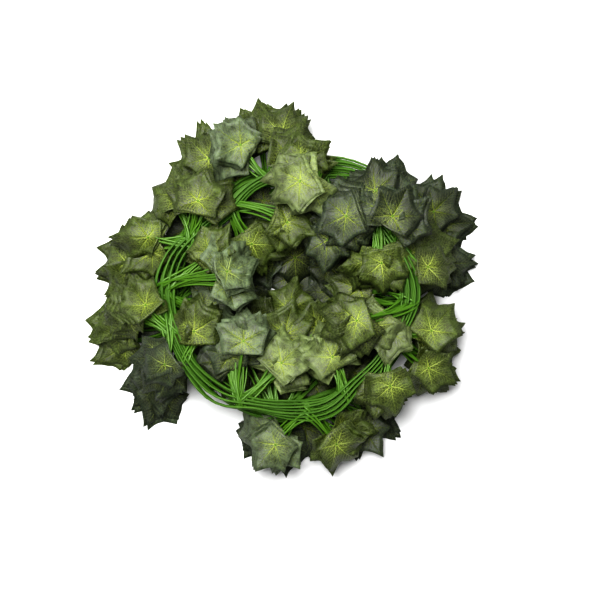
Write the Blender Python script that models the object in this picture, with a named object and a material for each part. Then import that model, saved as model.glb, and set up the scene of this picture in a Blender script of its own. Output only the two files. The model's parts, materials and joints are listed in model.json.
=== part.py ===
"""A coiled bundle of artificial ivy garlands, lying on a flat surface.

Twelve moulded vines run side by side as one loosely twisted bundle, which is coiled about two and a half times.
Sprays of nested fabric leaves stand off the bundle on groups of stalks, and settle on the surface, the vines
and each other. Each vine and each spray is one object.
+Z is up, the origin is on the surface under the middle of the heap, and lengths are in metres.
"""

import math
from collections import namedtuple
from itertools import product

import bmesh
import bpy
from mathutils import Matrix, Vector
from mathutils.bvhtree import BVHTree

MM = 0.001

# The vines and their bundle, in millimetres. The stagger is a share of one step of the coil.
VINE_DIAMETER = 2.5
VINE_GAP = 0.6
VINE_FACETS = 2
BUNDLE_TWIST_PER_TURN = 300.0
END_STAGGER = 0.25

# The coil, in millimetres and degrees. Angles run anticlockwise from +X, on through each turn.
COIL_RADIUS = 126.0
COIL_CENTRE = (12.0, -9.0)
COIL_START = -449.0
COIL_STEP = 18.0
COIL_LIFT = 12.0
COIL_RISE_PER_TURN = 20.0

# How far the bundle's middle runs outside COIL_RADIUS at each step of the coil, from the start at the bottom.
RADIUS_OFFSETS = (
    (-8, -6, -2, 0, -2, -5, -4, -2)
    + (-2, -5, -4, 1, -4, -2, 0, 2, 5, 1, -1, 2, 5, 2, -1, 1, 4, 7, 10, 17)
    + (25, 15.5, 3.3, -5.2, -15.8, -11, 1.7, 6.5, 3.3, 4.9)
    + (5.4, -3, -2.5, 0.7, -7.8, -6.7, -4.1, 2.3, -1, -3.6, -1)
)
# How many times wider than it is tall the bundle lies at each step.
WIDTH_RATIOS = (
    (1.2, 1.5, 1.9, 1.6, 1.3, 1.6, 2.0, 1.6)
    + (1.3, 1.6, 2.0, 1.6, 1.4, 1.8, 2.0, 1.6, 1.3, 1.6, 2.0, 1.7, 1.4, 1.6, 2.0, 1.6, 1.3, 1.5, 1.7, 1.9)
    + (1.8, 2.4, 1.6, 1.1, 1.7, 1.5, 2.1, 2.4, 1.5, 1.6)
    + (2.4, 1.3, 2.1, 2.3, 1.4, 1.2, 1.7, 2.2, 1.5, 1.2, 1.3)
)

# The leaves, in millimetres.
LEAF_REACH = 37.5
LEAF_WAIST = 0.84
PLATES_PER_SPRAY = 3

# The stalk group of a spray, in millimetres. Where there is no room at its station, it may leave the bundle a few
# degrees before or after, and further off the vines.
STALKS_WIDTH = 7.0
STALKS_TIP_WIDTH = 4.0
STALKS_THICKNESS = 2.4
STALKS_SLACKS = (0.8, 2.0, 4.0, 6.0, 9.0, 12.0, 16.0, 20.0)
STATION_SHIFTS = (0.0, -3.0, 3.0, -6.0, 6.0)
LEAST_SLANT = 0.3

# Settling the sprays on each other, in millimetres.
SPRAY_CLEARANCE = 0.6
SETTLE_STEP = 1.0
SETTLE_LIMIT = 120.0

# The leaf's outline round its vein junction: degrees from the tip, and distance as a share of LEAF_REACH.
LEAF_OUTLINE = (
    (0, 1.00),
    (30, 0.66),
    (59, 0.86),
    (91, 0.59),
    (124, 0.68),
    (180, 0.38),
    (-124, 0.68),
    (-91, 0.59),
    (-59, 0.86),
    (-30, 0.66),
)

# A spray: station is where along the coil its stalks leave the bundle, in degrees. bearing and reach say where
# its top leaf's vein junction lies from there. height is the least height of that junction. turn swings the
# leaf's tip off the stalks' bearing, droop lowers the tip, and roll lowers its right side, in degrees.
# back is where the bottom leaf lies from the top one. tone names the colour of the leaves. spread says how many
# times wider than one leaf the bottom leaves fan out.
# A height of 0 is a spray on the surface, whose bottom leaf lies flat.
Spray = namedtuple("Spray", "station bearing reach height turn droop roll back tone spread", defaults=(1.0,))

# The sprays that lie on the surface come first, then those that rest on them.
SPRAYS = (
    # On the surface, outside the coil.
    Spray(-260, 84, 46, 0, 11, 0, 0, (-6, 4, -16), "olive"),
    Spray(-240, 123, 46, 0, 17, 14, 0, (-8, 2, -20), "olive"),
    Spray(-195, 181, 52, 0, 9, 16, 6, (-4, -8, -20), "olive"),
    Spray(-165, 186, 56, 0, 4, 20, 0, (-8, -6, -20), "olive"),
    Spray(-145, 216, 46, 0, 0, 24, 0, (-6, -6, -20), "dark"),
    Spray(-86, 225, 38, 0, 20, 14, 0, (-4, -2, -18), "dark"),
    Spray(-63, 303, 40, 0, 2, 14, 0, (2, 2, -18), "dark"),
    Spray(-25, 351, 34, 0, 0, 16, 0, (2, 4, -20), "olive"),
    Spray(8, 22, 34, 0, -14, 14, 0, (2, 2, -20), "dark"),
    Spray(28, 35, 40, 0, 10, 20, 0, (6, 0, -20), "dark"),
    # On the surface, inside the coil.
    Spray(-275, 267, 82, 0, 0, 4, 0, (-4, 4, -14), "dark", 1.45),
    Spray(-95, 85, 86, 0, 0, 4, 0, (0, 6, -14), "olive", 1.45),
    Spray(-2, 174, 62, 0, 6, 6, 0, (0, -4, -14), "dark", 1.45),
    Spray(-175, 4, 62, 0, 4, 6, 0, (0, -4, -14), "dark", 1.45),
    # Over them, along the top of the coil.
    Spray(98, 78, 46, 50, 0, 15, 8, (-8, 4, -18), "olive"),
    Spray(100, 131, 45, 52, 19, 10, -5, (-8, -6, -18), "grey"),
    Spray(96, 26, 30, 54, 15, 5, 0, (-5, 4, -10), "olive"),
    Spray(74, 254, 42, 46, 0, 20, 0, (0, -6, -12), "olive"),
    Spray(123, 342, 62, 40, 0, 20, 0, (6, 6, -10), "olive"),
    Spray(123, 297, 46, 44, 0, 12, 0, (-3, -5, -12), "olive"),
    Spray(152, 107, 47, 50, 0, 18, -8, (4, 4, -16), "olive"),
    Spray(152, 76, 42, 48, 0, 10, 0, (3, 6, -10), "olive"),
    Spray(152, 176, 44, 50, 3, 14, -8, (-6, -8, -16), "olive"),
    Spray(178, 39, 62, 48, 10, 0, 0, (2, -2, -8), "olive"),
    Spray(178, 15, 70, 38, 0, 22, 0, (3, -5, -8), "grey"),
    Spray(180, 338, 46, 40, 0, 10, 0, (2, -4, -10), "grey"),
    Spray(201, 132, 46, 44, 0, 26, 0, (-20, -6, -18), "olive"),
    Spray(190, 268, 52, 62, -50, 26, 0, (-6, -8, -12), "dark"),
    Spray(214, 76, 34, 56, 14, 0, 0, (3, 3, -6), "olive"),
    Spray(246, 104, 50, 44, 5, 8, 0, (0, 4, -8), "dark"),
    Spray(246, 87, 65, 52, 0, 0, 0, (0, 2, -12), "grey"),
    Spray(246, 44, 60, 54, 0, 8, 0, (2, -2, -10), "light"),
    Spray(278, 229, 49, 46, 0, 18, 0, (-8, 4, -20), "grey"),
    Spray(278, 312, 49, 46, 0, 18, 0, (8, 6, -20), "olive"),
    Spray(298, 106, 43, 52, 15, 0, 0, (-4, 4, -10), "light"),
    Spray(337, 11, 40, 48, 39, 22, 0, (4, 6, -18), "olive"),
    Spray(337, 319, 49, 46, 20, 22, 0, (4, 2, -18), "olive"),
    Spray(337, 264, 50, 46, 22, 22, 0, (-6, -4, -16), "olive"),
    Spray(356, 164, 54, 40, 0, 12, 0, (-4, -8, -12), "olive"),
    Spray(356, 216, 42, 52, 24, 4, 0, (2, -5, -8), "light"),
    Spray(356, 199, 60, 58, 2, 6, 0, (-6, -5, -8), "olive"),
    Spray(388, 321, 48, 54, 39, 18, 0, (4, 12, -18), "olive"),
    Spray(40, 145, 25, 60, -45, 8, 0, (8, 2, -12), "dark"),
    Spray(388, 94, 22, 68, -34, 5, 0, (8, 4, -10), "dark"),
    Spray(402, 276, 51, 54, 0, 8, 0, (-2, -2, -8), "olive"),
    Spray(402, 207, 57, 50, 60, 20, 0, (6, 4, -10), "dark"),
    Spray(402, 184, 32, 60, 16, 6, 0, (4, 4, -8), "dark"),
    Spray(74, 216, 34, 58, -6, 4, 0, (4, -2, -8), "light"),
)

FINISHES = {
    "vine": ((0.10, 0.36, 0.05, 1), 0.42),
    "olive": ((0.10, 0.16, 0.035, 1), 0.75),
    "grey": ((0.15, 0.21, 0.12, 1), 0.75),
    "light": ((0.22, 0.29, 0.13, 1), 0.75),
    "dark": ((0.05, 0.085, 0.035, 1), 0.75),
}


def clear_scene():
    for obj in list(bpy.data.objects):
        bpy.data.objects.remove(obj)


def finish(name):
    """The material of that name, made the first time it is asked for."""
    made = bpy.data.materials.get(name)
    if made:
        return made
    colour, roughness = FINISHES[name]
    made = bpy.data.materials.new(name)
    made.use_nodes = True
    shader = made.node_tree.nodes["Principled BSDF"]
    shader.inputs["Base Color"].default_value = colour
    shader.inputs["Roughness"].default_value = roughness
    shader.inputs["Metallic"].default_value = 0.0
    return made


def smooth_through(values, place):
    """The value at a fractional index of a list, on a Catmull-Rom curve through its entries."""
    last = len(values) - 1
    place = min(max(place, 0.0), float(last))
    index = min(int(place), last - 1)
    share = place - index
    before = values[max(index - 1, 0)]
    start = values[index]
    end = values[index + 1]
    after = values[min(index + 2, last)]
    slope_in = (end - before) / 2
    slope_out = (after - start) / 2
    square = share * share
    cube = square * share
    return (
        start * (2 * cube - 3 * square + 1)
        + slope_in * (cube - 2 * square + share)
        + end * (3 * square - 2 * cube)
        + slope_out * (cube - square)
    )


def bundle_middle(angle):
    """The middle of the bundle at an angle of the coil, in metres."""
    place = (angle - COIL_START) / COIL_STEP
    radius = COIL_RADIUS + smooth_through(RADIUS_OFFSETS, place)
    turn = math.radians(angle)
    height = COIL_LIFT + COIL_RISE_PER_TURN * (angle - COIL_START) / 360
    x, y = COIL_CENTRE
    return Vector((x + radius * math.cos(turn), y + radius * math.sin(turn), height)) * MM


def bundle_axes(angle):
    """The bundle's level axis, pointing out of the coil, and its upright axis."""
    along = bundle_middle(angle + 1) - bundle_middle(angle - 1)
    across = along.cross(Vector((0, 0, 1))).normalized()
    return across, across.cross(along).normalized()


def bundle_pattern():
    """Where the twelve vines lie in a round bundle: the places nearest the middle of a triangular grid."""
    pitch = VINE_DIAMETER + VINE_GAP
    middle = Vector((0.5, math.sqrt(3) / 6))
    grid = [
        Vector((column + row / 2, row * math.sqrt(3) / 2)) - middle
        for row in range(-3, 4)
        for column in range(-4, 5)
    ]
    grid.sort(key=lambda place: (round(place.length, 6), round(math.atan2(place.y, place.x), 6)))
    return [place * pitch * MM for place in grid[:12]]


def vine_point(place, angle):
    """Where a vine runs at an angle of the coil, by its place in the twisted bundle."""
    across, upright = bundle_axes(angle)
    twist = math.radians(BUNDLE_TWIST_PER_TURN * (angle - COIL_START) / 360)
    turned = Matrix.Rotation(twist, 2) @ place
    width = smooth_through(WIDTH_RATIOS, (angle - COIL_START) / COIL_STEP)
    return bundle_middle(angle) + across * turned.x * width + upright * turned.y


def vine_route(number, place):
    """The points of one vine, its first and last slid along the coil so that the ends don't line up."""
    steps = len(RADIUS_OFFSETS) - 1
    route = [vine_point(place, COIL_START + COIL_STEP * index) for index in range(steps + 1)]
    stagger = END_STAGGER * (number % 4)
    route[0] = route[0].lerp(route[1], stagger)
    route[-1] = route[-1].lerp(route[-2], stagger)
    return route


def make_vine(number, place):
    """One vine: a round tube along its own place in the bundle."""
    route = vine_route(number, place)
    curve = bpy.data.curves.new(f"vine_{number:02d}", "CURVE")
    curve.dimensions = "3D"
    curve.bevel_depth = VINE_DIAMETER * MM / 2
    curve.bevel_resolution = VINE_FACETS
    curve.use_fill_caps = True
    line = curve.splines.new("POLY")
    line.points.add(len(route) - 1)
    for point, place_on_route in zip(line.points, route):
        point.co = (*place_on_route, 1)
    vine = bpy.data.objects.new(f"vine_{number:02d}", curve)
    vine.data.materials.append(finish("vine"))
    bpy.context.scene.collection.objects.link(vine)
    return vine


def leaf_ring(scale):
    """The leaf's outline as points round its vein junction, with the tip along +Y, in metres."""
    points = []
    for degrees, share in LEAF_OUTLINE:
        turn = math.radians(degrees)
        reach = LEAF_REACH * share * scale * MM
        points.append(Vector((-reach * math.sin(turn), reach * math.cos(turn), 0)))
    return points


def leaf_pose(spray, share):
    """Turns a flat leaf with its tip along +Y to how the spray holds it, a share of the way up the stack."""
    tilt = share if spray.height == 0 else 1.0
    heading = math.radians(spray.bearing + spray.turn - 90)
    return (
        Matrix.Rotation(heading, 4, "Z")
        @ Matrix.Rotation(math.radians(-spray.droop * tilt), 4, "X")
        @ Matrix.Rotation(math.radians(spray.roll * tilt), 4, "Y")
    )


def spray_place(spray):
    """The vein junction of the spray's top leaf, at its least height."""
    bearing = math.radians(spray.bearing)
    start = bundle_middle(spray.station)
    return Vector(
        (
            start.x + spray.reach * MM * math.cos(bearing),
            start.y + spray.reach * MM * math.sin(bearing),
            spray.height * MM,
        )
    )


def stack_mesh(spray):
    """The spray's nested leaves as one closed solid round its top leaf's junction, with waists between the leaves."""
    mesh = bmesh.new()
    back = Vector(spray.back) * MM
    last = 2 * (PLATES_PER_SPRAY - 1)
    rings = []
    for level in range(last + 1):
        share = level / last
        pose = leaf_pose(spray, share)
        scale = (LEAF_WAIST if level % 2 else 1.0) * (1 + (spray.spread - 1) * (1 - share))
        rings.append([mesh.verts.new(pose @ point + back * (1 - share)) for point in leaf_ring(scale)])
    sides = len(LEAF_OUTLINE)
    for lower, upper in zip(rings, rings[1:]):
        for index in range(sides):
            after = (index + 1) % sides
            mesh.faces.new((lower[index], lower[after], upper[after], upper[index]))
    mesh.faces.new(list(reversed(rings[0])))
    mesh.faces.new(rings[-1])
    bmesh.ops.triangulate(mesh, faces=mesh.faces[:])
    return mesh


def bundle_edge(station, direction):
    """How far along a direction the bundle's side is from its middle, in metres."""
    across, upright = bundle_axes(station)
    middle = bundle_middle(station)
    sideways = across * direction.dot(across) + upright * direction.dot(upright)
    outward = sideways.normalized()
    reach = max((vine_point(place, station) - middle).dot(outward) for place in bundle_pattern())
    return (reach + VINE_DIAMETER * MM / 2) / max(sideways.length, LEAST_SLANT)


def stalks_mesh(spray, junction, station, slack):
    """The spray's group of stalks, as a tapered bar from slack off the bundle to the middle of the leaves."""
    end = junction + Vector(spray.back) * MM / 2
    middle = bundle_middle(station)
    direction = (end - middle).normalized()
    start = middle + direction * (bundle_edge(station, direction) + slack * MM)
    side = direction.cross(Vector((0, 0, 1))).normalized()
    upright = side.cross(direction)
    mesh = bmesh.new()
    rings = []
    for point, width in ((start, STALKS_WIDTH), (end, STALKS_TIP_WIDTH)):
        half = side * width * MM / 2
        rise = upright * STALKS_THICKNESS * MM / 2
        corners = (-half - rise, half - rise, half + rise, rise - half)
        rings.append([mesh.verts.new(point + corner) for corner in corners])
    for index in range(4):
        after = (index + 1) % 4
        mesh.faces.new((rings[0][index], rings[0][after], rings[1][after], rings[1][index]))
    mesh.faces.new(list(reversed(rings[0])))
    mesh.faces.new(rings[1])
    bmesh.ops.recalc_face_normals(mesh, faces=mesh.faces[:])
    bmesh.ops.triangulate(mesh, faces=mesh.faces[:])
    return mesh


def swollen_tree(mesh, shift):
    """A search tree of a mesh that is moved by shift and grown by the clearance that sprays keep."""
    mesh.normal_update()
    points = [v.co + shift + v.normal * SPRAY_CLEARANCE * MM for v in mesh.verts]
    mesh.verts.index_update()
    return BVHTree.FromPolygons(points, [[v.index for v in face.verts] for face in mesh.faces])


def plain_tree(mesh, shift):
    mesh.verts.index_update()
    return BVHTree.FromPolygons(
        [v.co + shift for v in mesh.verts], [[v.index for v in face.verts] for face in mesh.faces]
    )


def tree_of_object(obj):
    graph = bpy.context.evaluated_depsgraph_get()
    return BVHTree.FromObject(obj, graph)


def is_clear(mesh, shift, placed):
    """True where the mesh, moved by shift, keeps its clearance to everything that is placed."""
    own = swollen_tree(mesh, shift)
    return not any(own.overlap(other) for other in placed)


def settle(spray, placed):
    """The spray's junction and its stalks, at the lowest height where they clear the surface and what is there."""
    leaves = stack_mesh(spray)
    junction = spray_place(spray)
    lowest = min(v.co.z for v in leaves.verts)
    junction.z = max(junction.z, -lowest)
    top = junction.z + SETTLE_LIMIT * MM
    while junction.z < top:
        if is_clear(leaves, junction, placed):
            for shift, slack in product(STATION_SHIFTS, STALKS_SLACKS):
                stalks = stalks_mesh(spray, junction, spray.station + shift, slack)
                if is_clear(stalks, Vector(), placed):
                    return junction, stalks
        junction.z += SETTLE_STEP * MM
    raise RuntimeError(f"no room for {spray}")


def object_from(name, mesh, shift, colour):
    data = bpy.data.meshes.new(name)
    bmesh.ops.translate(mesh, verts=mesh.verts[:], vec=shift)
    mesh.to_mesh(data)
    mesh.free()
    obj = bpy.data.objects.new(name, data)
    obj.data.materials.append(finish(colour))
    bpy.context.scene.collection.objects.link(obj)
    return obj


def make_spray(number, spray, placed):
    """One spray: its nested leaves joined to its group of stalks."""
    junction, stalks = settle(spray, placed)
    leaves = stack_mesh(spray)
    placed.append(plain_tree(leaves, junction))
    placed.append(plain_tree(stalks, Vector()))
    name = f"leaf_spray_{number:02d}"
    obj = object_from(name, leaves, junction, spray.tone)
    bar = object_from(f"stalks_of_{name}", stalks, Vector(), "vine")
    bar.hide_render = True
    bar.display_type = "WIRE"
    union = obj.modifiers.new("stalks", "BOOLEAN")
    union.operation = "UNION"
    union.object = bar
    return obj


def main():
    clear_scene()
    placed = []
    for number, place in enumerate(bundle_pattern(), 1):
        vine = make_vine(number, place)
        bpy.context.view_layer.update()
        placed.append(tree_of_object(vine))
    for number, spray in enumerate(SPRAYS, 1):
        make_spray(number, spray, placed)


main()
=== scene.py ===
"""The looks of a coiled bundle of artificial ivy garlands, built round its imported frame.

Twelve moulded vines each carry fabric leaves at stations along the bundle, so that the leaves of a station
lie nested like spoons, each on its own stalk. The sidebar panel lists one operator each for the stage, the
vines, the stalks and the leaves. Lengths are in metres.
"""

import json
import math
import random
from collections import namedtuple

import bpy
from bpy.props import FloatProperty, FloatVectorProperty, IntProperty, PointerProperty
from mathutils import Matrix, Vector, noise


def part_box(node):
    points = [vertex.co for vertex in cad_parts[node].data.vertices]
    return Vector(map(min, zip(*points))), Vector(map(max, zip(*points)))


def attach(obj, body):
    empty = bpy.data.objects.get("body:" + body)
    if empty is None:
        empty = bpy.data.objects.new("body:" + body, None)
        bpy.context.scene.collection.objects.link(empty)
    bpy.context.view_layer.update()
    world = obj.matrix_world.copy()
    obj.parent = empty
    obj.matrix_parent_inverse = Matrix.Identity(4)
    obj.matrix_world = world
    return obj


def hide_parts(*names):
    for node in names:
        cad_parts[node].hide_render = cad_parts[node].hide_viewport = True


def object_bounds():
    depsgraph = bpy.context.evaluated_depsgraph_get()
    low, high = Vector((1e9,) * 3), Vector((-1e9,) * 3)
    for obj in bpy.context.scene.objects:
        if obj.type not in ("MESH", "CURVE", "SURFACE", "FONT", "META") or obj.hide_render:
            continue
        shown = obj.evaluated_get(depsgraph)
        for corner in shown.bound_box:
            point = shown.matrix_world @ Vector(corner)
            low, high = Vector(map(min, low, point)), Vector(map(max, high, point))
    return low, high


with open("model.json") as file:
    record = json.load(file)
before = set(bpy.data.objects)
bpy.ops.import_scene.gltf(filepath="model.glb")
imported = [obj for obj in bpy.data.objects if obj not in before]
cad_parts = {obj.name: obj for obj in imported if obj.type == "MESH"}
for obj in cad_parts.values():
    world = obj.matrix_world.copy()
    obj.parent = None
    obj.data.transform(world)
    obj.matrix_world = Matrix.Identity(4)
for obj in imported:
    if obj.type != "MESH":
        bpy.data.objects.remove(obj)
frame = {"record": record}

bl_info = {
    "name": "Ivy Garland Bundle",
    "version": (1, 0, 0),
    "blender": (4, 5, 0),
    "location": "3D View > Sidebar > Ivy",
    "description": "Dresses a coiled bundle of artificial ivy garlands with vines, stalks and printed leaves",
    "category": "Object",
}

CAD_LOW, CAD_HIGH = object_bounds()
BODY = "root"
MM = 0.001

# The coil, as the vines' solids lie: millimetres and degrees, anticlockwise from +X, on through each turn.
VINE_PITCH = 3.1
BUNDLE_TWIST_PER_TURN = 300.0
END_STAGGER = 0.25
COIL_RADIUS = 126.0
COIL_CENTRE = (12.0, -9.0)
COIL_START = -449.0
COIL_STEP = 18.0
COIL_LIFT = 12.0
COIL_RISE_PER_TURN = 20.0
RADIUS_OFFSETS = (
    (-8, -6, -2, 0, -2, -5, -4, -2)
    + (-2, -5, -4, 1, -4, -2, 0, 2, 5, 1, -1, 2, 5, 2, -1, 1, 4, 7, 10, 17)
    + (25, 15.5, 3.3, -5.2, -15.8, -11, 1.7, 6.5, 3.3, 4.9)
    + (5.4, -3, -2.5, 0.7, -7.8, -6.7, -4.1, 2.3, -1, -3.6, -1)
)
WIDTH_RATIOS = (
    (1.2, 1.5, 1.9, 1.6, 1.3, 1.6, 2.0, 1.6)
    + (1.3, 1.6, 2.0, 1.6, 1.4, 1.8, 2.0, 1.6, 1.3, 1.6, 2.0, 1.7, 1.4, 1.6, 2.0, 1.6, 1.3, 1.5, 1.7, 1.9)
    + (1.8, 2.4, 1.6, 1.1, 1.7, 1.5, 2.1, 2.4, 1.5, 1.6)
    + (2.4, 1.3, 2.1, 2.3, 1.4, 1.2, 1.7, 2.2, 1.5, 1.2, 1.3)
)
POINTS_PER_STEP = 4

# A leaf's outline round its vein junction: degrees from the tip, and distance as a share of the leaf's reach.
# Lobe tips and the hollows between them take turns.
LEAF_OUTLINE = (
    ((0, 1.00), (30, 0.66), (59, 0.86), (91, 0.59), (124, 0.68), (180, 0.38))
    + ((236, 0.68), (269, 0.59), (301, 0.86), (330, 0.66), (360, 1.00))
)
# How far an edge between a lobe's tip and a hollow curves inwards, and the leaf's mesh: points on each such
# edge, and rings out from the junction.
EDGE_HOLLOW = 0.015
STEPS_PER_EDGE = 5
LEAF_RINGS = (0.13, 0.30, 0.48, 0.66, 0.83, 1.0)
# The reaches that the leaf's UV square spans, the angle from which a fold in the cloth is shaded as sharp,
# and the height under which leaves are pressed flat on the surface (m).
PLAN_SPAN = 2.2
CREASE_ANGLE = 16.0
LEAF_FLOOR = 0.0010

# How the leaves of a spray part into nested stacks, by where the spray lies. side, ahead and down (mm) place
# a stack's top leaf from the spray's own; swing turns its tip outwards, and lean lowers its outer side.
Fan = namedtuple("Fan", "leaves side ahead down swing lean")
FANS = {
    "outside": (
        Fan(5, 0, 0, 0, 0, 0),
        Fan(4, -14, -2, 4, 26, 12),
        Fan(3, 14, -2, 5, 28, 14),
    ),
    "inside": (
        Fan(4, 0, 0, 0, 0, 0),
        Fan(4, -30, 8, 3, 40, 5),
        Fan(4, 30, 8, 3, 40, 5),
        Fan(3, 0, 24, 6, 10, 0),
        Fan(4, -48, -26, 3, 75, 4),
        Fan(4, 48, -26, 3, 75, 4),
    ),
    "top": (
        Fan(6, 0, 0, 0, 0, 0),
        Fan(3, -10, -3, 6, 26, 10),
        Fan(3, 10, -3, 6, 26, 10),
    ),
}
# The most that a whole stack tips any way from how its spray's solid lies, in degrees.
TILT = 14.0
# How many times wider than one leaf a spray's solid is at the bottom.
SOLID_SPREAD = {"outside": 1.0, "inside": 1.45, "top": 1.0}

# Where the sprays lie, as their solids do. station (degrees) is where along the coil the stalks leave the
# bundle; bearing and reach (mm) lead from there to the top leaf's junction; turn, droop and roll (degrees)
# hold the leaf; back (mm) is where the bottom leaf lies from the top one.
Spray = namedtuple("Spray", "station bearing reach layer turn droop roll back")
SPRAYS = (
    # On the surface, outside the coil.
    Spray(-260, 84, 46, "outside", 11, 0, 0, (-6, 4, -16)),
    Spray(-240, 123, 46, "outside", 17, 14, 0, (-8, 2, -20)),
    Spray(-195, 181, 52, "outside", 9, 16, 6, (-4, -8, -20)),
    Spray(-165, 186, 56, "outside", 4, 20, 0, (-8, -6, -20)),
    Spray(-145, 216, 46, "outside", 0, 24, 0, (-6, -6, -20)),
    Spray(-86, 225, 38, "outside", 20, 14, 0, (-4, -2, -18)),
    Spray(-63, 303, 40, "outside", 2, 14, 0, (2, 2, -18)),
    Spray(-25, 351, 34, "outside", 0, 16, 0, (2, 4, -20)),
    Spray(8, 22, 34, "outside", -14, 14, 0, (2, 2, -20)),
    Spray(28, 35, 40, "outside", 10, 20, 0, (6, 0, -20)),
    # On the surface, inside the coil.
    Spray(-275, 267, 82, "inside", 0, 4, 0, (-4, 4, -14)),
    Spray(-95, 85, 86, "inside", 0, 4, 0, (0, 6, -14)),
    Spray(-2, 174, 62, "inside", 6, 6, 0, (0, -4, -14)),
    Spray(-175, 4, 62, "inside", 4, 6, 0, (0, -4, -14)),
    # Over them, along the top of the coil.
    Spray(98, 78, 46, "top", 0, 15, 8, (-8, 4, -18)),
    Spray(100, 131, 45, "top", 19, 10, -5, (-8, -6, -18)),
    Spray(96, 26, 30, "top", 15, 5, 0, (-5, 4, -10)),
    Spray(74, 254, 42, "top", 0, 20, 0, (0, -6, -12)),
    Spray(123, 342, 62, "top", 0, 20, 0, (6, 6, -10)),
    Spray(123, 297, 46, "top", 0, 12, 0, (-3, -5, -12)),
    Spray(152, 107, 47, "top", 0, 18, -8, (4, 4, -16)),
    Spray(152, 76, 42, "top", 0, 10, 0, (3, 6, -10)),
    Spray(152, 176, 44, "top", 3, 14, -8, (-6, -8, -16)),
    Spray(178, 39, 62, "top", 10, 0, 0, (2, -2, -8)),
    Spray(178, 15, 70, "top", 0, 22, 0, (3, -5, -8)),
    Spray(180, 338, 46, "top", 0, 10, 0, (2, -4, -10)),
    Spray(201, 132, 46, "top", 0, 26, 0, (-20, -6, -18)),
    Spray(190, 268, 52, "top", -50, 26, 0, (-6, -8, -12)),
    Spray(214, 76, 34, "top", 14, 0, 0, (3, 3, -6)),
    Spray(246, 104, 50, "top", 5, 8, 0, (0, 4, -8)),
    Spray(246, 87, 65, "top", 0, 0, 0, (0, 2, -12)),
    Spray(246, 44, 60, "top", 0, 8, 0, (2, -2, -10)),
    Spray(278, 229, 49, "top", 0, 18, 0, (-8, 4, -20)),
    Spray(278, 312, 49, "top", 0, 18, 0, (8, 6, -20)),
    Spray(298, 106, 43, "top", 15, 0, 0, (-4, 4, -10)),
    Spray(337, 11, 40, "top", 39, 22, 0, (4, 6, -18)),
    Spray(337, 319, 49, "top", 20, 22, 0, (4, 2, -18)),
    Spray(337, 264, 50, "top", 22, 22, 0, (-6, -4, -16)),
    Spray(356, 164, 54, "top", 0, 12, 0, (-4, -8, -12)),
    Spray(356, 216, 42, "top", 24, 4, 0, (2, -5, -8)),
    Spray(356, 199, 60, "top", 2, 6, 0, (-6, -5, -8)),
    Spray(388, 321, 48, "top", 39, 18, 0, (4, 12, -18)),
    Spray(40, 145, 25, "top", -45, 8, 0, (8, 2, -12)),
    Spray(388, 94, 22, "top", -34, 5, 0, (8, 4, -10)),
    Spray(402, 276, 51, "top", 0, 8, 0, (-2, -2, -8)),
    Spray(402, 207, 57, "top", 60, 20, 0, (6, 4, -10)),
    Spray(402, 184, 32, "top", 16, 6, 0, (4, 4, -8)),
    Spray(74, 216, 34, "top", -6, 4, 0, (4, -2, -8)),
)


# Stacks that lie on the surface under the coil, on longer stalks of a spray's own: the spray's number, where
# the top leaf's junction lies (mm), where its tip points (degrees) and how many leaves it has. LOOSE_TOP and
# LOOSE_STEP (mm) are the top leaf's height and the drop to each leaf under it.
# Their leaves are held dark, a painted shade for where they lie under the coil.
LOOSE_TOP = 9.0
LOOSE_STEP = 2.2
LooseStack = namedtuple("LooseStack", "spray x y heading leaves")
LOOSE_STACKS = (
    LooseStack(11, -18, 92, 230, 3),
    LooseStack(11, 52, 84, 300, 3),
    LooseStack(2, -46, 112, 150, 3),
    LooseStack(14, -92, 62, 140, 3),
    LooseStack(4, -118, 34, 190, 3),
    LooseStack(14, -72, 22, 60, 3),
    LooseStack(5, -128, -42, 215, 3),
    LooseStack(14, -84, -62, 250, 3),
    LooseStack(12, -44, -88, 235, 3),
    LooseStack(12, -6, -104, 265, 3),
    LooseStack(12, 38, -98, 285, 3),
    LooseStack(12, 76, -88, 310, 3),
    LooseStack(13, 104, -50, 330, 3),
    LooseStack(13, 112, 18, 20, 3),
    LooseStack(13, 84, 62, 60, 3),
    LooseStack(7, 26, -158, 268, 3),
)


def colour_setting(name, description, default):
    return FloatVectorProperty(
        name=name, description=description, default=default, min=0.0, max=1.0, subtype="COLOR", size=3
    )


def length_setting(name, description, default, low, high, precision=2):
    return FloatProperty(
        name=name, description=description, default=default, min=low, max=high,
        unit="LENGTH", precision=precision,
    )


class IvyVineSettings(bpy.types.PropertyGroup):
    """Sizes and colours of the moulded vines and stalks."""

    diameter: length_setting(
        "Vine Diameter", "Diameter of a vine between its joints", 0.0025, 0.001, 0.006, precision=4
    )
    sides: IntProperty(name="Vine Sides", description="Flat sides round a vine", default=12, min=6, max=32)
    swelling: FloatProperty(
        name="Joint Swelling", description="How much thicker a vine is where a stalk leaves it",
        default=0.22, min=0.0, max=1.0, subtype="FACTOR",
    )
    stalk_base: length_setting(
        "Stalk Base Diameter", "Diameter of a stalk where it leaves its vine",
        0.0026, 0.001, 0.005, precision=4,
    )
    stalk_end: length_setting(
        "Stalk End Diameter", "Diameter of a stalk under its leaf", 0.0019, 0.0005, 0.004, precision=4
    )
    vine_colour: colour_setting("Vine Colour", "Moulded plastic of the vines", (0.092, 0.190, 0.026))
    stalk_colour: colour_setting(
        "Stalk Colour", "Moulded plastic of the stalks, where it is thinnest", (0.120, 0.235, 0.026)
    )


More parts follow.
